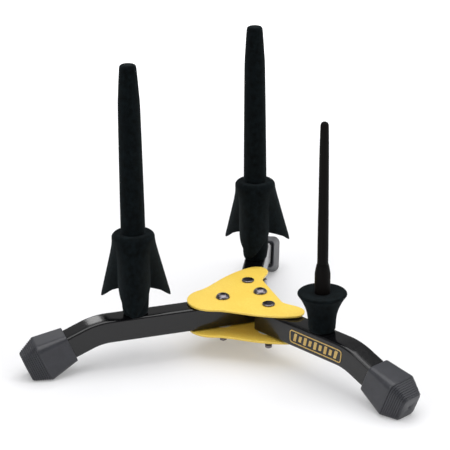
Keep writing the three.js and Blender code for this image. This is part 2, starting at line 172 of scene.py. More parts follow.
def smooth_profile(knots: Sequence[Sequence[float]], count: int) -> Points:
    """A curve through knots by Catmull-Rom weights on centripetal spacing, then spaced evenly.

    Between two knots the curve is the Barry-Goldman blend of its four nearest knots.

    Args:
        knots: The (radius, height) knots in order.
        count: Number of points wanted.

    Returns:
        An array of (count, 2) that starts and ends on the first and last knots.
    """
    p = np.asarray(knots, float)
    p = np.vstack([2 * p[0] - p[1], p, 2 * p[-1] - p[-2]])
    gap = np.sqrt(np.linalg.norm(np.diff(p, axis=0), axis=1)).clip(1e-9)
    knot = np.concatenate([[0.0], np.cumsum(gap)])
    t = np.linspace(knot[1], knot[-2], 40 * count)
    i = np.clip(np.searchsorted(knot, t, side="right") - 1, 1, len(p) - 3)

    def blend(a: Points, b: Points, ta: Points, tb: Points) -> Points:
        """The point at t on the line from a at ta to b at tb."""
        share = ((t - ta) / (tb - ta))[:, None]
        return a * (1 - share) + b * share

    k = [knot[i + d] for d in (-1, 0, 1, 2)]
    q = [p[i + d] for d in (-1, 0, 1, 2)]
    a1, a2, a3 = (blend(q[d], q[d + 1], k[d], k[d + 1]) for d in range(3))
    b1, b2 = blend(a1, a2, k[0], k[2]), blend(a2, a3, k[1], k[3])
    curve = blend(b1, b2, k[1], k[2])
    length = np.concatenate([[0.0], np.cumsum(np.linalg.norm(np.diff(curve, axis=0), axis=1))])
    at = np.linspace(0.0, length[-1], count)
    return np.stack([np.interp(at, length, curve[:, d]) for d in range(2)], axis=-1)


def cut_corners(rings: Points, rounds: int) -> Points:
    """Round a stack of rings between its first and last by cutting corners.

    Each round puts two points on every span, a quarter in from either end, and keeps the two
    outermost rings where they are.

    Args:
        rings: Levels by points by three.
        rounds: How many times to cut.

    Returns:
        The denser stack.
    """
    for _ in range(rounds):
        near = 0.75 * rings[:-1] + 0.25 * rings[1:]
        far = 0.25 * rings[:-1] + 0.75 * rings[1:]
        between = np.stack([near, far], axis=1).reshape(-1, *rings.shape[1:])
        rings = np.concatenate([rings[:1], between, rings[-1:]])
    return rings


class Ends(Enum):
    """How the first and last rows of a grid are closed."""

    POLES = "poles"
    WRAP = "wrap"


def skin(name: str, rows: Points, ends: Ends = Ends.POLES, sharp: float = 40.0) -> bpy.types.Object:
    """A closed mesh over a grid of rings, in millimetres, each ring wrapping round.

    Vertex (i, j) joins (i, j+1), (i+1, j+1) and (i+1, j). With poles, the middle of the first and
    the last ring closes each end; with wrap, the last ring joins the first.

    Args:
        name: The piece's name.
        rows: Rings of points, (rings, points, 3), in millimetres.
        ends: How the grid is closed.
        sharp: Edges over this angle in degrees stay sharp.

    Returns:
        The piece's object, at the origin, its place in its mesh.
    """
    count, size, _ = rows.shape
    verts = rows.reshape(-1, 3) * MM
    ring = np.arange(count if ends is Ends.WRAP else count - 1)[:, None]
    spot = np.arange(size)[None, :]
    below, above = ring * size, ((ring + 1) % count) * size
    after = (spot + 1) % size
    quads = np.stack([below + spot, below + after, above + after, above + spot], axis=-1)
    faces = quads.reshape(-1, 4).tolist()
    if ends is Ends.POLES:
        verts = np.vstack([verts, rows[0].mean(0) * MM, rows[-1].mean(0) * MM])
        first, last = count * size, count * size + 1
        edge, next_ = spot[0], after[0]
        faces += np.stack([np.full(size, first), next_, edge], axis=-1).tolist()
        top = (count - 1) * size
        faces += np.stack([np.full(size, last), top + edge, top + next_], axis=-1).tolist()
    mesh = bpy.data.meshes.new(name)
    mesh.from_pydata(verts.tolist(), [], faces)
    if signed_volume(mesh) < 0:
        mesh.flip_normals()
    mesh.update()
    mesh.polygons.foreach_set("use_smooth", np.ones(len(mesh.polygons), bool))
    mesh.set_sharp_from_angle(angle=math.radians(sharp))
    piece = bpy.data.objects.new(name, mesh)
    bpy.context.scene.collection.objects.link(piece)
    return piece


def signed_volume(mesh: bpy.types.Mesh) -> float:
    """Six times a closed mesh's volume: each triangle's a . (b x c), summed."""
    mesh.calc_loop_triangles()
    corner = np.empty(len(mesh.loop_triangles) * 3, np.int32)
    mesh.loop_triangles.foreach_get("vertices", corner)
    place = np.empty(len(mesh.vertices) * 3, np.float32)
    mesh.vertices.foreach_get("co", place)
    a, b, c = place.reshape(-1, 3).astype(float)[corner.reshape(-1, 3)].transpose(1, 0, 2)
    return float(np.einsum("ij,ij->", a, np.cross(b, c)))


def turned(name: str, profile: Points, around: int = 64, sharp: float = 40.0) -> bpy.types.Object:
    """A lathe surface about +Z: (r cos a, r sin a, z) for each profile point and each angle a.

    Args:
        name: The piece's name.
        profile: (radius, height) points from one end of the body to the other, (n, 2).
        around: Points round each ring.
        sharp: Edges over this angle in degrees stay sharp.

    Returns:
        The closed piece, standing at the origin.
    """
    return skin(name, rings_about_z(profile, around), sharp=sharp)


def round_z(angle: Points, radius: Points, height: Points) -> Points:
    """Points about the Z axis: (r cos a, r sin a, z)."""
    return np.stack([radius * np.cos(angle), radius * np.sin(angle), height + 0 * angle], axis=-1)


def rings_about_z(profile: Points, around: int) -> Points:
    """The rings of a lathe surface, as (rings, around, 3)."""
    profile = np.asarray(profile, float)
    return round_z(np.linspace(0, TURN, around, endpoint=False), profile[:, :1], profile[:, 1:])


def hexagon(angle: Points, half: float) -> Points:
    """A hexagon's radius at each angle: half its width over flats / cos(offset from a flat)."""
    return half / np.cos((angle % (TURN / 6)) - TURN / 12)


def slab(outline: Points, low: float, high: float, edge: float, heart: Sequence[float]) -> Points:
    """Rings over a flat plate with rounded edges.

    From the heart out, each ring is heart + s (rim - heart) with s growing to 1. Round the rim
    the outline is inset by edge (1 - cos a) and its height moves by edge sin a.

    Args:
        outline: The plate's outline, (n, 2), anticlockwise and in full view of the heart.
        low: Height of the bottom.
        high: Height of the top.
        edge: Radius of the rim's edges.
        heart: The point that the rings spread from.

    Returns:
        Rings of points, (rings, n, 3), from the middle of the bottom to the middle of the top.
    """
    heart = np.asarray(heart, float)
    spread = np.array([0.02, 0.35, 0.7, 0.92])
    rim = inset(outline, edge)
    flat = heart + spread[:, None, None] * (rim - heart)
    bend = np.radians(np.linspace(0, 90, 5))
    round_off = np.stack([inset(outline, edge * (1 - math.sin(a))) for a in bend])
    rise = edge * (1 - np.cos(bend))

    def at(rings: Points, heights: Points) -> Points:
        """The rings lifted to their heights."""
        lifted = np.broadcast_to(np.asarray(heights, float)[:, None, None], (*rings.shape[:2], 1))
        return np.concatenate([rings, lifted], axis=-1)

    bottom = at(flat, np.full(4, low))
    lower = at(round_off, low + rise)
    upper = at(round_off[::-1], high - rise[::-1])
    top = at(flat[::-1], np.full(4, high))
    return np.concatenate([bottom, lower, upper, top])


@dataclass(frozen=True)
class Place:
    """A spot on the floor plan and a heading, which pieces are made at and then carried to."""

    x: float
    y: float
    heading: float = 0.0

    def beyond(self, distance: float) -> "Place":
        """The place that lies a distance further along the heading."""
        return Place(
            self.x + distance * math.cos(self.heading),
            self.y + distance * math.sin(self.heading),
            self.heading,
        )

    def carry(self, piece: bpy.types.Object) -> bpy.types.Object:
        """Turn and move a piece's mesh to this place, and leave its object at the origin."""
        spin = Matrix.Rotation(self.heading, 4, "Z")
        shift = Matrix.Translation((self.x * MM, self.y * MM, 0.0))
        piece.data.transform(shift @ spin)
        return piece


# ----------------------------------------------------------------------------- finishes


def linear(hex_colour: str) -> tuple[float, float, float, float]:
    """An sRGB hex colour as linear RGBA: c/12.92 below 0.04045, else ((c + 0.055)/1.055)^2.4."""
    channels = [int(hex_colour[i : i + 2], 16) / 255 for i in (0, 2, 4)]
    red, green, blue = (c / 12.92 if c < 0.04045 else ((c + 0.055) / 1.055) ** 2.4 for c in channels)
    return (red, green, blue, 1.0)


def add(tree: bpy.types.NodeTree, kind: str, links: dict | None = None, **settings) -> bpy.types.Node:
    """Add one shader node.

    Args:
        tree: The material's node tree.
        kind: The node's type name.
        links: Input name or index to a socket to join it to, or to a value to set.
        **settings: The node's own settings.

    Returns:
        The new node.
    """
    made = tree.nodes.new(kind)
    for key, value in settings.items():
        setattr(made, key, value)
    for socket, value in (links or {}).items():
        if isinstance(value, bpy.types.NodeSocket):
            tree.links.new(value, made.inputs[socket])
        else:
            made.inputs[socket].default_value = value
    return made


@dataclass(frozen=True)
class Finish:
    """A material: two close shades mixed by a pattern, a roughness range, and a fine relief.

    The grain and blotch sizes are in millimetres, and the relief is its height in millimetres.
    """

    name: str
    slot: str
    dark: str
    light: str
    rough: tuple[float, float]
    grain: float
    relief: float
    blotch: float = 12.0
    metallic: float = 0.0
    ior: float = 1.5
    detail: float = 3.0
    shader: dict = field(default_factory=dict)

    def build(self) -> bpy.types.Material:
        """Make the material, or return it if it is already made."""
        done = bpy.data.materials.get(self.name)
        if done:
            return done
        material = bpy.data.materials.new(self.name)
        material.use_nodes = True
        tree = material.node_tree
        tree.nodes.clear()
        where = add(tree, "ShaderNodeTexCoord").outputs["Object"]
        grain = self.pattern(tree, where)
        patch = {"Vector": where, "Scale": 1 / (self.blotch * MM), "Detail": 3.0}
        blotch = add(tree, "ShaderNodeTexNoise", patch).outputs["Fac"]
        mixed = add(tree, "ShaderNodeMath", {0: grain, 1: blotch}, operation="ADD").outputs[0]
        spread = {"Value": mixed, "From Min": 0.75, "From Max": 1.3}
        share = add(tree, "ShaderNodeMapRange", spread).outputs[0]
        shades = {0: share, 6: linear(self.dark), 7: linear(self.light)}
        tint = add(tree, "ShaderNodeMix", shades, data_type="RGBA").outputs[2]
        span = {"Value": mixed, "From Min": 0.7, "From Max": 1.3}
        span["To Min"], span["To Max"] = self.rough
        rough = add(tree, "ShaderNodeMapRange", span).outputs[0]
        bump = {"Height": grain, "Strength": 1.0, "Distance": self.relief * MM}
        relief = add(tree, "ShaderNodeBump", bump).outputs[0]
        settings = {"Metallic": self.metallic, **self.shader}
        if self.metallic < 0.5:
            settings["IOR"] = self.ior
        shader = add(
            tree,
            "ShaderNodeBsdfPrincipled",
            {"Base Color": tint, "Roughness": rough, "Normal": relief, **settings},
        )
        add(tree, "ShaderNodeOutputMaterial", {"Surface": shader.outputs[0]})
        return material

    def pattern(self, tree: bpy.types.NodeTree, where: bpy.types.NodeSocket) -> bpy.types.NodeSocket:
        """The fine pattern that the relief and the shades follow: an even noise."""
        return add(
            tree,
            "ShaderNodeTexNoise",
            {"Vector": where, "Scale": 1 / (self.grain * MM), "Detail": self.detail, "Roughness": 0.6},
        ).outputs["Fac"]

    def dress(self, piece: bpy.types.Object) -> bpy.types.Object:
        """Give the whole piece this finish."""
        piece.data.materials.clear()
        piece.data.materials.append(self.build())
        return piece


@dataclass(frozen=True)
class Pebbled(Finish):
    """A finish whose fine pattern is rounded bumps that touch, as powder coat's orange peel is."""

    def pattern(self, tree: bpy.types.NodeTree, where: bpy.types.NodeSocket) -> bpy.types.NodeSocket:
        """Distance to the nearest of scattered points, smoothed."""
        return add(
            tree,
            "ShaderNodeTexVoronoi",
            {"Vector": where, "Scale": 1 / (self.grain * MM), "Smoothness": 1.0},
            feature="SMOOTH_F1",
        ).outputs["Distance"]


# Polyester powder coat on steel, sprayed and baked: an even satin yellow with faint orange peel.
POWDER_YELLOW = Pebbled(
    "powder_coat_yellow", "powder_yellow", "F8D257", "FCDD69", (0.34, 0.42), 1.1, 0.012, blotch=25,
)
# Stoved gloss enamel on steel tube: near black, with a clear mirror of what is round it.
ENAMEL_BLACK = Finish(
    "stoved_enamel_black", "paint_black", "0A0A0C", "131315", (0.12, 0.2), 2.5, 0.004, blotch=30,
)
# Moulded natural rubber: a matt dark grey with a faint bloom.
RUBBER_GREY = Finish(
    "moulded_rubber_grey", "rubber_grey", "2B2C31", "37383E", (0.36, 0.46), 0.6, 0.015, blotch=6,
)
# Nylon flock on moulded plastic: short upright fibres that drink light and glow at the edges.
VELVET_BLACK = Finish(
    "flocked_velvet_black", "velvet_black", "020303", "11181B", (0.88, 1.0), 0.5, 0.2, blotch=3.5,
    ior=1.4, detail=5.0,
    shader={
        "Sheen Weight": 0.12, "Sheen Roughness": 0.5, "Sheen Tint": linear("93A0A4"),
        "Specular IOR Level": 0.08,
    },
)
# Moulded ABS rod: satin black-brown.
ABS_BROWN = Finish(
    "moulded_abs_brown", "rod_dark", "060403", "0A0706", (0.55, 0.65), 0.8, 0.006, blotch=9,
    shader={"Specular IOR Level": 0.1},
)
# Black-nickel plated steel, rolled: a dark warm metal with a soft mirror.
BLACK_NICKEL = Finish(
    "black_nickel_steel", "bolt_gunmetal", "6E6A6E", "88838A", (0.24, 0.34), 0.9, 0.002, blotch=6,
    metallic=1.0,
)
# Black oxide on steel nuts: nearly black and slightly oily.
OXIDE_BLACK = Finish(
    "black_oxide_steel", "nut_black", "0D0C0C", "1A1918", (0.35, 0.5), 0.5, 0.006, blotch=3,
)
# Natural nylon washer: milky white.
NYLON_NATURAL = Finish(
    "natural_nylon", "nylon_white", "D9D6CC", "E9E7E0", (0.45, 0.55), 0.8, 0.004, blotch=5,
    shader={"Subsurface Weight": 0.2, "Subsurface Scale": 0.001},
)
# Zinc-plated steel: a pale grey metal.
ZINC_STEEL = Finish(
    "zinc_plated_steel", "steel_plain", "A2A4A8", "B9BBBE", (0.3, 0.42), 0.7, 0.004, blotch=4,
    metallic=1.0,
)
# Screen-printed gold ink: a warm pale yellow with a low gloss.
INK_GOLD = Finish(
    "screen_printed_gold_ink", "badge_gold", "CFA85A", "E3C57C", (0.4, 0.5), 0.4, 0.006, blotch=4,
)


# ----------------------------------------------------------------------------- sub-assemblies


def middle(node: str) -> tuple[float, float]:
    """The plan middle of a CAD node's box, in millimetres."""
    low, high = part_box(node)
    return ((low[0] + high[0]) / (2 * MM), (low[1] + high[1]) / (2 * MM))


def heights(node: str) -> tuple[float, float]:
    """A CAD node's lowest and highest points in millimetres above the zero of the heights here."""
    low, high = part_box(node)
    return low[2] / MM - FLOOR_DROP, high[2] / MM - FLOOR_DROP


def settle(piece: bpy.types.Object, body: str, finish: Finish, *nodes: str) -> bpy.types.Object:
    """Dress a piece, ride it on its body and let it stand for its CAD nodes."""
    finish.dress(piece)
    piece.data.transform(Matrix.Translation((0.0, 0.0, FLOOR_DROP * MM)))
    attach(piece, body)
    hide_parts(*nodes)
    LOG.info("%s: %d faces on %s", piece.name, len(piece.data.polygons), body)
    return piece


@dataclass
class Hub:
    """Two clamping plates, four bolts and their nuts. Sizes in millimetres."""

    x: float
    plate: float = 1.8
    edge: float = 0.55
    lobe_x: float = -35.0
    lobe_radius: float = 19.7
    lobe_stop: float = 108.0
    ear_x: float = 12.5
    ear_y: float = 40.0
    ear_radius: float = 9.0
    ear_start: float = -20.0
    ear_stop: float = 105.0
    lobe_pull: float = 14.0
    ear_pull: float = 27.0
    straight_x: float = 11.2
    straight_y: float = 21.0
    bolt_radius: float = 2.6
    bolt_low: float = 7.0
    socket_flats: float = 3.1
    nut_flats: float = 10.0
    nut_tip: float = 5.7

    def outline(self) -> Points:
        """The plate's outline: a big arc, two ear arcs, and curves between them, mirrored in y."""
        ear = arc((self.ear_x, self.ear_y), self.ear_radius, self.ear_start, self.ear_stop, 28)
        lobe = arc((self.lobe_x, 0), self.lobe_radius, self.lobe_stop, 180, 36)
        turn = math.radians(self.lobe_stop)
        leave = lobe[0] + self.lobe_pull * np.array([math.sin(turn), -math.cos(turn)])
        turn = math.radians(self.ear_stop)
        arrive = ear[-1] + self.ear_pull * np.array([-math.sin(turn), math.cos(turn)])
        flank = bezier((ear[-1], arrive, leave, lobe[0]), 44)
        start = np.array([self.straight_x, self.straight_y])
        nose = bezier((start, start + (0.3, 5.5), ear[0] - (2.4, 6.6), ear[0]), 24)
        side = np.stack([np.full(12, self.straight_x), np.linspace(0, self.straight_y, 12)], axis=-1)
        half = np.vstack([side, nose[1:], ear[1:], flank[1:], lobe[1:]])
        return np.vstack([half, (half * (1, -1))[::-1][1:-1]])

    def make_plate(self, name: str, node: str) -> bpy.types.Object:
        """One plate: a slab over the outline, at the height of its CAD node."""
        low, high = heights(node)
        outline = even_loop(self.outline(), 360)
        rings = slab(outline, low, high, self.edge, (-12.0, 0.0))
        piece = Place(self.x, 0).carry(skin(name, rings))
        return settle(piece, "hub", POWDER_YELLOW, node)

    def make_button_bolt(self, name: str, node: str) -> bpy.types.Object:
        """A button-head bolt with a hexagon socket.

        Args:
            name: The piece's name.
            node: The CAD bolt it stands for.

        Returns:
            The bolt.
        """
        high = heights(node)[1]
        seat = high - 3.2
        dome = smooth_profile(
            [
                (5.25, seat + 0.35), (5.15, seat + 0.8), (4.6, seat + 1.75),
                (3.5, seat + 2.6), (2.2, seat + 3.1),
            ],
            18,
        )
        radius = self.bolt_radius
        shank = np.array([(radius, self.bolt_low), (radius, seat), (4.9, seat), (5.2, seat + 0.12)])
        rings = rings_about_z(np.vstack([shank, dome]), 48)
        angle = np.linspace(0, TURN, 48, endpoint=False)
        across = hexagon(angle, self.socket_flats / 2)
        wall = np.array([(1.0, seat + 3.12), (0.93, seat + 2.95), (0.92, seat + 1.3), (0.5, seat + 1.1)])
        socket = round_z(angle, wall[:, :1] * across, wall[:, 1:])
        piece = skin(name, np.concatenate([rings, socket]), sharp=35)
        return settle(Place(*middle(node)).carry(piece), "hub", BLACK_NICKEL, node)

    def make_flat_bolt(self, name: str, node: str) -> bpy.types.Object:
        """A pivot bolt with a low, slightly crowned head."""
        seat = heights(node)[1] - 1.5
        crown = smooth_profile(
            [(4.7, seat + 0.75), (4.45, seat + 1.15), (3.8, seat + 1.35), (0.6, seat + 1.5)], 16
        )
        radius = self.bolt_radius
        shank = np.array([(radius, self.bolt_low), (radius, seat), (4.5, seat), (4.68, seat + 0.15)])
        piece = turned(name, np.vstack([shank, crown]), 48, sharp=35)
        return settle(Place(*middle(node)).carry(piece), "hub", BLACK_NICKEL, node)

    def make_cap_nut(self, name: str, node: str) -> bpy.types.Object:
        """A hexagon nut with a washer flange above it and a domed cap that hides the bolt's end.

        Args:
            name: The piece's name.
            node: The CAD nut it stands for.

        Returns:
            The nut.
        """
        low, high = heights(node)
        angle = np.linspace(0, TURN, 72, endpoint=False)
        flat = hexagon(angle, self.nut_flats / 2)
        drop = np.radians(np.linspace(0, 90, 12))[1:]
        base = low + 1.0
        dome = np.stack([3.35 * np.sin(drop), base - (base - self.nut_tip) * np.cos(drop)], axis=-1)
        rings = rings_about_z(dome, 72)
        bevel = np.minimum(flat, 4.9)
        sides = [
            (bevel, low), (np.minimum(flat, 5.35), low + 0.35), (flat, low + 0.9), (flat, high - 1.1),
        ]
        body = np.stack([round_z(angle, radius, height) for radius, height in sides])
        flange = rings_about_z(
            [(6.2, high - 1.0), (6.3, high - 0.8), (6.3, high - 0.15), (6.1, high), (3.2, high)], 72
        )
        piece = skin(name, np.concatenate([rings, body, flange]), sharp=30)
        return settle(Place(*middle(node)).carry(piece), "hub", OXIDE_BLACK, node)

    def make(self) -> None:
        """Make and dress the whole hub."""
        self.make_plate("hub_plate_upper", "upper_plate")
        self.make_plate("hub_plate_lower", "lower_plate")
        for place in ("outer", "centre"):
            self.make_button_bolt(f"{place}_button_bolt", f"{place}_bolt")
        for place in ("rear_pivot", "right_pivot"):
            self.make_flat_bolt(f"{place}_flat_bolt", f"{place}_bolt")
        for place in ("outer", "centre", "rear_pivot", "right_pivot"):
            self.make_cap_nut(f"{place}_cap_nut", f"{place}_nut")


@dataclass
class Leg:
    """A bent rectangular tube and its rubber foot, along its own +X. Sizes in millimetres."""

    name: str
    body: str
    place: Place
    inner_end: float
    mouth: float
    width: float = 16.8
    height: float = 17.6
    wall: float = 1.5
    corner: float = 2.0
    top: float = 38.5
    radius: float = 46.0
    slope: float = math.radians(22)
    insert: float = 19.0
    mouth_size: tuple[float, float, float] = (11.1, 10.2, 3.2)
    swell: tuple[float, float, float, float] = (22.15, 15.05, 12.85, 5.6)
    end: tuple[float, float, float] = (35.35, 8.5, 3.2)
    ribs: int = 9
    rib_depth: float = 0.42

    @property
    def middle_height(self) -> float:
        """Height of the level stretch's centre line."""
        return self.top - self.height / 2

    @property
    def mouth_height(self) -> float:
        """Height of the centre line at the foot's mouth, so that the foot's ribbed side is level."""
        reach = self.swell[0] * math.sin(self.slope) + self.swell[1] * math.cos(self.slope)
        return reach - FLOOR_DROP

    @property
    def straight(self) -> float:
        """Length of the sloping stretch between the bend and the foot's mouth."""
        fall = self.radius * (1 - math.cos(self.slope))
        return (self.middle_height - fall - self.mouth_height) / math.sin(self.slope)

    @property
    def bend_start(self) -> float:
        """Distance from the leg's own origin to the start of the bend."""
        run = self.straight * math.cos(self.slope) + self.radius * math.sin(self.slope)
        return self.mouth - run

    def centre_line(self, along: Points) -> tuple[Points, Points, Points]:
        """Where the centre line is at a length along it from the leg's own origin.

        Before the bend it is level. In the bend the angle is the length past the start over the
        radius, and the line turns on a circle. After it the line falls at the slope.

        Args:
            along: Lengths along the line.

        Returns:
            The distance out, the height and the fall angle at each length.
        """
        fall = np.clip((along - self.bend_start) / self.radius, 0.0, self.slope)
        after = np.maximum(along - self.bend_start - self.radius * self.slope, 0.0)
        level = np.minimum(along, self.bend_start)
        out = level + self.radius * np.sin(fall) + after * math.cos(self.slope)
        height = self.middle_height - self.radius * (1 - np.cos(fall)) - after * math.sin(self.slope)
        return out, height, fall

    def sweep(self, along: Points, section: Points) -> Points:
        """Carry a section along the centre line: line + (0, y, 0) + z (sin fall, 0, cos fall)."""
        out, height, fall = (v[:, None] for v in self.centre_line(along))
        across, up = section[..., 0], section[..., 1]
        return np.stack(
            [out + up * np.sin(fall), across + 0 * out, height + up * np.cos(fall)], axis=-1
        )

    def make_tube(self) -> bpy.types.Object:
        """The tube: its outside, its open inner end with a softened lip, and its inside."""
        stop = self.bend_start + self.radius * self.slope + self.straight + self.insert - 0.5
        lip = 0.3
        along = np.concatenate(
            [
                [self.inner_end, self.inner_end + lip * 0.3, self.inner_end + lip],
                np.linspace(self.inner_end + 4, self.bend_start, 24),
                np.linspace(self.bend_start + 1, self.bend_start + self.radius * self.slope, 20),
                np.linspace(self.bend_start + self.radius * self.slope + 1.5, stop, 14),
            ]
        )
        sink = np.zeros(len(along))
        sink[:2] = (lip, lip * 0.3)
        outer = rounded_rectangle(self.width / 2 - sink, self.height / 2 - sink, self.corner - sink)
        inner = rounded_rectangle(
            np.full(len(along), self.width / 2 - self.wall),
            np.full(len(along), self.height / 2 - self.wall),
            np.full(len(along), 0.9),
        )
        rings = np.concatenate([self.sweep(along, outer), self.sweep(along, inner)[::-1]])
        piece = self.place.carry(skin(f"{self.name}_leg_tube", rings, Ends.WRAP, sharp=50))
        return settle(piece, self.body, ENAMEL_BLACK, f"{self.name}_leg")

    def make_foot(self) -> bpy.types.Object:
        """The foot: straight-sided stages from mouth to swell to end, creases softened, with ribs.

        Along the foot's axis the half height and half width are straight between stages, then
        averaged over about 1.7 mm. Each rib's groove takes away depth times a raised cosine.
        """
        at = np.concatenate(
            [np.linspace(0.0, self.swell[0], 30)[:-1], np.linspace(self.swell[0], self.end[0], 110)]
        )
        stages = (0.0, self.swell[0], self.end[0])
        end_high = self.swell[1] - (self.end[0] - self.swell[0]) * math.tan(self.slope)
        fine = np.linspace(-3, self.end[0] + 3, 800)
        window = np.ones(32) / 32

        def soft(values: Sequence[float]) -> Points:
            """The straight stages averaged over a short window."""
            raw = np.interp(fine, stages, values)
            raw = np.where(fine < 0, values[0] + fine * (values[1] - values[0]) / stages[1], raw)
            slope = (values[2] - values[1]) / (stages[2] - stages[1])
            raw = np.where(fine > stages[2], values[2] + (fine - stages[2]) * slope, raw)
            return np.interp(at, fine, np.convolve(np.pad(raw, 16, mode="edge"), window, "same")[16:-16])

        high = soft((self.mouth_size[0], self.swell[1], end_high))
        wide = soft((self.mouth_size[1], self.swell[2], self.end[1]))
        corner = soft((self.mouth_size[2], self.swell[3], self.end[2]))
        pitch = (self.end[0] - self.swell[0]) / self.ribs
        phase = (at - self.swell[0]) / pitch
        groove = np.where(phase > 0.4, np.clip(np.cos(TURN * (phase - 0.85)) * 1.7 - 0.7, 0, 1), 0.0)
        high, wide = high - self.rib_depth * groove, wide - self.rib_depth * groove

        def close(steps: Points, offset: Points, shrink: Points, ring: int) -> tuple[Points, ...]:
            """Rings that round an end off: the end ring shrunk and moved along the axis."""
            return (at[ring] + offset + 0 * steps, high[ring] - shrink, wide[ring] - shrink)

        turn = np.radians(np.linspace(0, 90, 5))
        lip, nose = 0.5, 0.9
        mouth_at, mouth_high, mouth_wide = close(
            turn, lip - lip * np.sin(turn), lip * (1 - np.cos(turn)), 0
        )
        tail_at, tail_high, tail_wide = close(
            turn, nose * np.sin(turn) - nose, nose * (1 - np.cos(turn)), -1
        )
        body = (at > lip) & (at < self.end[0] - nose)
        tube_high, tube_wide, face = self.height / 2, self.width / 2, self.end[0]
        socket = np.array(
            [
                [self.insert + 0.3, tube_high + 0.25, tube_wide + 0.25, 2.0],
                [0.6, tube_high + 0.25, tube_wide + 0.25, 2.0],
                [0.0, tube_high + 0.7, tube_wide + 0.7, 2.3],
            ]
        )
        dimple = np.array(
            [
                [face, 6.0, 5.2, 2.2],
                [face, 1.6, 1.6, 1.55],
                [face - 0.5, 1.1, 1.1, 1.05],
                [face - 0.6, 0.3, 0.3, 0.28],
            ]
        )
        mouth_round, end_round = np.full(5, self.mouth_size[2]), np.full(5, self.end[2])
        stations = np.vstack(
            [
                socket,
                np.stack([mouth_at, mouth_high, mouth_wide, mouth_round], axis=-1)[::-1],
                np.stack([at[body], high[body], wide[body], corner[body]], axis=-1),
                np.stack([tail_at, tail_high, tail_wide, end_round], axis=-1),
                dimple,
            ]
        )
        section = rounded_rectangle(stations[:, 2], stations[:, 1], stations[:, 3], steps=8, fill=5)
        along = stations[:, :1]
        cos, sin = math.cos(self.slope), math.sin(self.slope)
        rings = np.stack(
            [
                self.mouth + along * cos + section[..., 1] * sin,
                section[..., 0] + 0 * along,
                self.mouth_height - along * sin + section[..., 1] * cos,
            ],
            axis=-1,
        )
        piece = self.place.carry(skin(f"{self.name}_rubber_foot", rings, sharp=50))
        return settle(piece, self.body, RUBBER_GREY, f"{self.name}_foot")

    def make(self) -> None:
        """Make and dress the tube and the foot."""
        self.make_tube()
        self.make_foot()


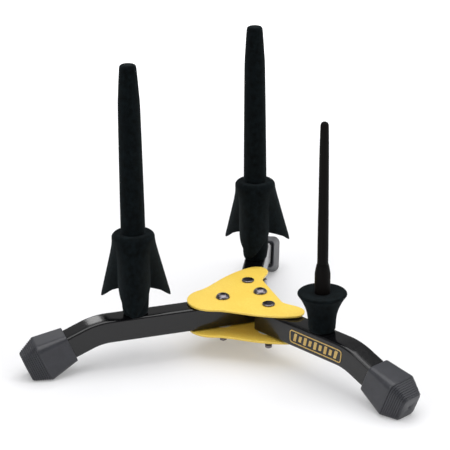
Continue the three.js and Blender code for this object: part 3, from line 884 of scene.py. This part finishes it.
@dataclass
class LobedPeg:
    """A velvet peg: a base that flares into three pointed lobes, and a stick. In millimetres."""

    name: str
    body: str
    place: Place
    lobe_turn: float = 0.0
    collar_top: float = 101.9
    collar_radius: float = 15.7
    collar_round: float = 3.4
    lobe_radius: float = 30.0
    lobe_tip: float = 47.5
    valley_radius: float = 13.6
    arch_top: float = 61.0
    flare_drop: float = 3.6
    stick_top: float = 225.8
    around: int = 180

    def lobe_share(self, angle: Points) -> Points:
        """How far out a lobe is: 1 at its tip and 0 in the valley.

        The share falls with the angle's distance from the nearest of three equal directions,
        first slowly and then as a power, so that each lobe is a rounded point.
        """
        off = np.abs((np.degrees(angle) + 60) % 120 - 60)
        return np.maximum(0.0, 1 - (np.hypot(off, 5.5) - 5.5) / 60) ** 1.6

    def rim(self, share: Points) -> Points:
        """The rim's height: lowest at a lobe's tip, arched up in the valley."""
        return self.lobe_tip + (self.arch_top - self.lobe_tip) * (1 - share) ** 0.75

    def flank(self, share: Points, height: Points) -> Points:
        """The outer surface's radius.

        The tips run straight out from the collar, and the valleys pull in soon below it; the
        radius goes from the valley's to the tip's by the lobe share.
        """
        top = self.collar_top - self.flare_drop
        drop = (top - height) / (top - self.lobe_tip)
        tip = self.collar_radius + (self.lobe_radius - self.collar_radius) * drop
        pull = np.maximum(0.0, 1 - drop * 3) ** 2
        valley = self.valley_radius + (self.collar_radius - self.valley_radius) * pull
        return valley + (tip - valley) * share

    def base_rings(self) -> Points:
        """The base's skin: one closed ring of points per level.

        The levels go up the core, out under the lobes, round the rim, up the flank and over the
        collar. Corner cutting between the levels rounds every edge a little.
        """
        angle = np.linspace(0, TURN, self.around, endpoint=False)
        share = self.lobe_share(angle)
        rim, flat = self.rim(share), np.ones_like(share)
        levels = [
            (8.4 * flat, (PEG_FOOT + 0.05) * flat),
            (9.2 * flat, (PEG_FOOT + 0.9) * flat),
            (9.9 * flat, 46.5 * flat),
            (10.6 * flat, rim + 1.5 + 9 * share),
            (11 + 8 * share, rim + 0.6 + 7 * share),
            (12.2 + (self.lobe_radius - 13.6) * share, rim + 0.1),
        ]
        for part in (0.0, 0.2, 0.4, 0.6, 0.8, 1.0):
            height = rim + 0.8 + part * (self.collar_top - self.flare_drop - 0.8 - rim)
            levels.append((self.flank(share, height) - 0.1, height))
        for turn in np.radians((15, 40, 65, 88)):
            out = self.collar_radius - self.collar_round * (1 - math.cos(turn)) - 0.1
            levels.append(
                (out * flat, (self.collar_top - self.collar_round * (1 - math.sin(turn))) * flat)
            )
        levels.append((9.0 * flat, (self.collar_top - 0.1) * flat))
        return cut_corners(np.stack([round_z(angle, out, up) for out, up in levels]), 3)

    def make_base(self) -> bpy.types.Object:
        """The base, turned so that its lobes stand where the peg's own turn puts them."""
        piece = skin(f"{self.name}_peg_velvet_base", self.base_rings(), sharp=60)
        piece.data.transform(Matrix.Rotation(math.pi + self.lobe_turn, 4, "Z"))
        return settle(self.place.carry(piece), self.body, VELVET_BLACK, f"{self.name}_peg_base")

    def make_stick(self) -> bpy.types.Object:
        """The stick: nearly straight, then a shoulder, a taper and a flat top with a soft edge."""
        low, top = self.collar_top - 6.0, self.stick_top
        side = smooth_profile(
            [
                (8.95, low), (8.75, 120), (8.45, 150), (8.1, 180), (7.75, 199),
                (7.3, 206), (6.8, 214), (6.3, 220.5), (6.1, 223.2),
            ],
            90,
        )
        crown = smooth_profile([(6.1, 223.2), (5.7, 224.8), (4.8, 225.6), (3.6, top), (0.3, top)], 14)
        piece = turned(
            f"{self.name}_peg_velvet_stick", np.vstack([side, crown[1:]]), 56, sharp=60
        )
        return settle(self.place.carry(piece), self.body, VELVET_BLACK, f"{self.name}_peg_stick")

    def make(self) -> None:
        """Make and dress the peg."""
        self.make_base()
        self.make_stick()


@dataclass
class SlimPeg:
    """A slim rod in a ferrule on a velvet trumpet. Sizes in millimetres."""

    name: str
    body: str
    place: Place
    trumpet_top: float = 68.1
    trumpet_radius: float = 17.6
    ferrule_top: float = 83.0
    rod_top: float = 193.4

    def make_trumpet(self) -> bpy.types.Object:
        """The trumpet: its radius follows its knots from the leg up to a thin rolled rim."""
        top, radius = self.trumpet_top, self.trumpet_radius
        flare = smooth_profile(
            [
                (8.4, PEG_FOOT + 0.05), (9.5, 40.0), (9.9, 43.0), (10.2, 48.0), (10.9, 52.5),
                (12.1, 56.5), (13.7, 60.2), (15.4, 63.4), (16.9, 65.6), (radius, 66.7),
            ],
            60,
        )
        rim = smooth_profile(
            [
                (radius, 66.7), (radius - 0.15, top - 0.6), (radius - 0.8, top - 0.1),
                (radius - 2.2, top - 0.1), (9.0, top - 0.5), (3.0, top - 0.6),
            ],
            24,
        )
        piece = turned(f"{self.name}_peg_velvet_trumpet", np.vstack([flare, rim[1:]]), 80, sharp=60)
        return settle(self.place.carry(piece), self.body, VELVET_BLACK, f"{self.name}_peg_base")

    def make_ferrule(self) -> bpy.types.Object:
        """The ferrule: a plain sleeve with a softened foot and a cone that meets the rod."""
        low, top = self.trumpet_top - 0.4, self.ferrule_top
        side = smooth_profile([(5.6, low), (5.6, low + 6), (5.6, top - 1.0)], 12)
        cone = smooth_profile([(5.6, top - 1.0), (5.5, top), (4.75, top + 4.2), (4.3, top + 6.2)], 16)
        piece = turned(
            f"{self.name}_peg_ferrule_sleeve", np.vstack([side, cone[1:], [(3.6, top + 6.2)]]), 48
        )
        return settle(self.place.carry(piece), self.body, ABS_BROWN, f"{self.name}_peg_ferrule")

    def make_rod(self) -> bpy.types.Object:
        """The rod: it thins evenly from the ferrule to a rounded tip."""
        low, top = self.ferrule_top + 3.0, self.rod_top
        side = smooth_profile(
            [(3.9, low), (3.85, 111), (3.6, 138), (3.4, 165), (3.15, 182), (2.95, 190.0)], 70
        )
        tip = smooth_profile([(2.95, 190.0), (2.7, 191.7), (2.0, 192.9), (1.0, top), (0.2, top)], 12)
        piece = turned(f"{self.name}_peg_slim_rod", np.vstack([side, tip[1:]]), 40, sharp=60)
        return settle(self.place.carry(piece), self.body, ABS_BROWN, f"{self.name}_peg_rod")

    def make(self) -> None:
        """Make and dress the peg."""
        self.make_trumpet()
        self.make_ferrule()
        self.make_rod()


@dataclass
class Badge:
    """A printed frame round a row of slanted bars on a leg's side. Sizes in millimetres."""

    leg: Leg
    start: float = 30.5
    stop: float = 81.0
    low: float = -5.3
    high: float = 4.7
    line: float = 0.75
    thick: float = 0.3
    bars: int = 9

    def lay(self, flat: Points) -> Points:
        """Wrap flat (along, up, proud) points on the leg's near side, round its bend."""
        out, height, fall = self.leg.centre_line(flat[..., 0])
        up = flat[..., 1]
        side = -self.leg.width / 2 - 0.02 - flat[..., 2]
        return np.stack([out + up * np.sin(fall), side, height + up * np.cos(fall)], axis=-1)

    def make(self) -> bpy.types.Object:
        """Make the frame and the bars as one raised print."""
        half = np.array([(self.stop - self.start) / 2, (self.high - self.low) / 2])
        centre = np.array([(self.stop + self.start) / 2, (self.high + self.low) / 2])
        steps = np.array([0.0, self.line, self.line, 0.0])
        proud = np.array([self.thick, self.thick, 0.0, 0.0])
        loops = rounded_rectangle(
            half[0] - steps, half[1] - steps, 2.4 - steps, steps=8, fill=30
        ) + centre
        raised = np.broadcast_to(proud[:, None, None], (*loops.shape[:2], 1))
        frame_rows = np.concatenate([loops, raised], axis=-1)
        parts = [skin("print_frame", self.lay(frame_rows), Ends.WRAP, sharp=30)]
        pitch = (self.stop - self.start - 6.0) / self.bars
        for k in range(self.bars):
            x = self.start + 3.0 + (k + 0.5) * pitch
            tall = 3.1 if k % 2 == 0 else 2.3
            bar = rounded_rectangle(1.35, tall, 0.4, steps=4, fill=4)[0]
            bar[:, 0] += x + 0.25 * bar[:, 1]
            bar[:, 1] += centre[1]
            rings = slab(bar, 0.0, self.thick, 0.1, (x, centre[1]))
            parts.append(skin("print_bar", self.lay(rings), sharp=30))
        piece = join(f"{self.leg.name}_leg_printed_badge", parts)
        return settle(self.leg.place.carry(piece), self.leg.body, INK_GOLD, f"{self.leg.name}_leg_badge")


def join(name: str, parts: list[bpy.types.Object]) -> bpy.types.Object:
    """Put several pieces' meshes into one piece.

    Args:
        name: The new piece's name.
        parts: The pieces, which are removed.

    Returns:
        The new piece.
    """
    places, loops, sizes, offset = [], [], [], 0
    for part in parts:
        source = part.data
        place = np.empty(len(source.vertices) * 3, np.float32)
        source.vertices.foreach_get("co", place)
        corner = np.empty(len(source.loops), np.int32)
        source.loops.foreach_get("vertex_index", corner)
        size = np.empty(len(source.polygons), np.int32)
        source.polygons.foreach_get("loop_total", size)
        places.append(place)
        loops.append(corner + offset)
        sizes.append(size)
        offset += len(source.vertices)
    place, corner, size = (np.concatenate(each) for each in (places, loops, sizes))
    mesh = bpy.data.meshes.new(name)
    mesh.vertices.add(offset)
    mesh.vertices.foreach_set("co", place)
    mesh.loops.add(len(corner))
    mesh.loops.foreach_set("vertex_index", corner)
    mesh.polygons.add(len(size))
    mesh.polygons.foreach_set("loop_start", np.cumsum(size) - size)
    mesh.update(calc_edges=True)
    mesh.polygons.foreach_set("use_smooth", np.ones(len(size), bool))
    mesh.set_sharp_from_angle(angle=math.radians(30))
    piece = bpy.data.objects.new(name, mesh)
    bpy.context.scene.collection.objects.link(piece)
    for part in parts:
        bpy.data.objects.remove(part)
    return piece


@dataclass
class Hidden:
    """The CAD nodes that stay as they are, with the finish that each gets."""

    def make(self) -> None:
        """Dress every washer, spacer, bush, pin, stud and insert."""
        for name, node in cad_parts.items():
            if "washer" in name:
                NYLON_NATURAL.dress(node)
            elif any(word in name for word in ("spacer", "bush", "pin", "stud", "insert")):
                ZINC_STEEL.dress(node)


@dataclass
class Studio:
    """A pale floor, soft lights and the camera. Lengths in metres, powers in watts."""

    hub_x: float
    camera_from_hub: tuple[float, float, float] = (-0.3526, -1.0184, 0.51162)
    azimuth: float = -17.81
    pitch: float = 21.07
    roll: float = -0.588
    lens: float = 125.64
    sensor: float = 36.0
    floor_size: float = 12.0
    # Painted floor glow: emission strength near the stand and far off, kept low near the stand as
    # painted shade round it.
    painted_floor_glow: tuple[float, float] = (0.26, 0.8)
    # Distances from the middle over which the painted shade gives way to the full painted glow.
    painted_shade_reach: tuple[float, float] = (0.2, 0.9)

    def make_floor(self) -> None:
        """A wide level floor with a painted glow, seen by the eye and in mirrors only: weak near the
        middle as painted shade round the stand, full far off.
        """
        half = self.floor_size / 2
        mesh = bpy.data.meshes.new("studio_floor")
        corners = [(-half, -half, 0), (half, -half, 0), (half, half, 0), (-half, half, 0)]
        mesh.from_pydata(corners, [], [(0, 1, 2, 3)])
        floor = bpy.data.objects.new("studio_floor", mesh)
        bpy.context.scene.collection.objects.link(floor)
        material = bpy.data.materials.new("studio_paper_white")
        material.use_nodes = True
        tree = material.node_tree
        tree.nodes.clear()
        # Painted glow: emission seen only by camera and mirror rays, dimmed near the stand to paint
        # shade round it.
        ray = add(tree, "ShaderNodeLightPath").outputs
        either = {0: ray["Is Camera Ray"], 1: ray["Is Glossy Ray"]}
        seen = add(tree, "ShaderNodeMath", either, operation="MAXIMUM").outputs[0]
        where = add(tree, "ShaderNodeTexCoord").outputs["Object"]
        distance = add(tree, "ShaderNodeVectorMath", {0: where}, operation="LENGTH").outputs[1]
        span = {"Value": distance}
        span["From Min"], span["From Max"] = self.painted_shade_reach
        span["To Min"], span["To Max"] = self.painted_floor_glow
        painted_glow_level = add(tree, "ShaderNodeMapRange", span, interpolation_type="SMOOTHSTEP").outputs[0]
        glow = add(tree, "ShaderNodeMath", {0: seen, 1: painted_glow_level}, operation="MULTIPLY").outputs[0]
        shader = add(
            tree,
            "ShaderNodeBsdfPrincipled",
            {
                "Base Color": linear("D5D5D7"),
                "Roughness": 0.9,
                "Specular IOR Level": 0.1,
                "Emission Color": linear("FFFFFF"),
                "Emission Strength": glow,
            },
        )
        add(tree, "ShaderNodeOutputMaterial", {"Surface": shader.outputs[0]})
        mesh.materials.append(material)

    def make_world(self) -> None:
        """A plain grey surround."""
        world = bpy.data.worlds.new("studio_surround")
        world.use_nodes = True
        tree = world.node_tree
        tree.nodes.clear()
        back = add(tree, "ShaderNodeBackground", {"Color": linear("FFFFFF"), "Strength": 0.25})
        add(tree, "ShaderNodeOutputWorld", {"Surface": back.outputs[0]})
        bpy.context.scene.world = world

    def make_light(
        self, name: str, place: Sequence[float], aim: Sequence[float], size: float, power: float
    ) -> None:
        """A square soft light at a place, facing an aim."""
        data = bpy.data.lights.new(name, "AREA")
        data.shape = "SQUARE"
        data.size = size
        data.energy = power
        light = bpy.data.objects.new(name, data)
        bpy.context.scene.collection.objects.link(light)
        away = np.asarray(place, float) - np.asarray(aim, float)
        light.matrix_world = Matrix.Translation(place) @ looking(away)

    def make_camera(self) -> None:
        """The camera: turned by its azimuth, pitched down, and rolled a little about its view."""
        data = bpy.data.cameras.new("studio_camera")
        data.lens = self.lens
        data.sensor_width = self.sensor
        data.clip_end = 50
        camera = bpy.data.objects.new("studio_camera", data)
        bpy.context.scene.collection.objects.link(camera)
        x, y, z = self.camera_from_hub
        turn = Matrix.Rotation(math.radians(self.azimuth), 4, "Z")
        tilt = Matrix.Rotation(math.radians(90 - self.pitch), 4, "X")
        roll = Matrix.Rotation(math.radians(self.roll), 4, "Z")
        camera.matrix_world = Matrix.Translation((x + self.hub_x, y, z)) @ turn @ tilt @ roll
        bpy.context.scene.camera = camera

    def make(self) -> None:
        """Make the floor, the surround, the lights and the camera."""
        self.make_floor()
        self.make_world()
        self.make_light("soft_top", (0.1, -0.1, 1.5), (0.0, 0.0, 0.0), size=1.8, power=26)
        self.make_light("soft_left", (-1.3, -0.7, 0.9), (0.0, 0.0, 0.1), size=0.9, power=6)
        self.make_light("soft_right", (1.3, -0.6, 0.8), (0.0, 0.0, 0.1), size=0.8, power=4)
        self.make_light("soft_back", (-0.03, 1.8, 0.92), (-0.1, 0.0, 0.03), size=0.36, power=1.2)
        self.make_camera()
        bpy.context.scene.view_settings.view_transform = "Standard"


def looking(away: Points) -> Matrix:
    """The turn that makes a light's -Z face the opposite of away, as a 4x4 matrix."""
    back = np.asarray(away, float) / np.linalg.norm(away)
    side = np.cross((0.0, 1.0, 0.0) if abs(back[2]) > 0.9 else (0.0, 0.0, 1.0), back)
    side /= np.linalg.norm(side)
    up = np.cross(back, side)
    return Matrix([[side[i], up[i], back[i], 0.0] for i in range(3)] + [[0, 0, 0, 1.0]])


def main() -> None:
    """Build the stand and its studio."""
    logging.basicConfig(level=logging.INFO, format="%(name)s: %(message)s")
    pivot_x, pivot_y = middle("rear_pivot_bolt")
    Studio(pivot_x * MM).make()
    Hub(pivot_x).make()
    left = Leg("left", "hub", Place(pivot_x, 0.0, math.pi), -8.2, FIXED_MOUTH)
    rear = Leg("rear", "rear_arm", Place(pivot_x, pivot_y, LEG_SPREAD), -6.5, FOLD_MOUTH)
    right = Leg("right", "right_arm", Place(pivot_x, -pivot_y, -LEG_SPREAD), -6.5, FOLD_MOUTH)
    for leg in (left, rear, right):
        leg.make()
    left_place, rear_place = left.place.beyond(FIXED_PEG), rear.place.beyond(FOLD_PEG)
    LobedPeg("left", "hub", left_place, math.radians(13), lobe_tip=46.2).make()
    LobedPeg(
        "rear", "rear_arm", rear_place, math.radians(-1),
        collar_top=103.3, lobe_tip=49.2, arch_top=62.4,
    ).make()
    SlimPeg("right", "right_arm", right.place.beyond(FOLD_PEG)).make()
    Badge(right).make()
    Hidden().make()


if __name__ == "__main__":
    main()
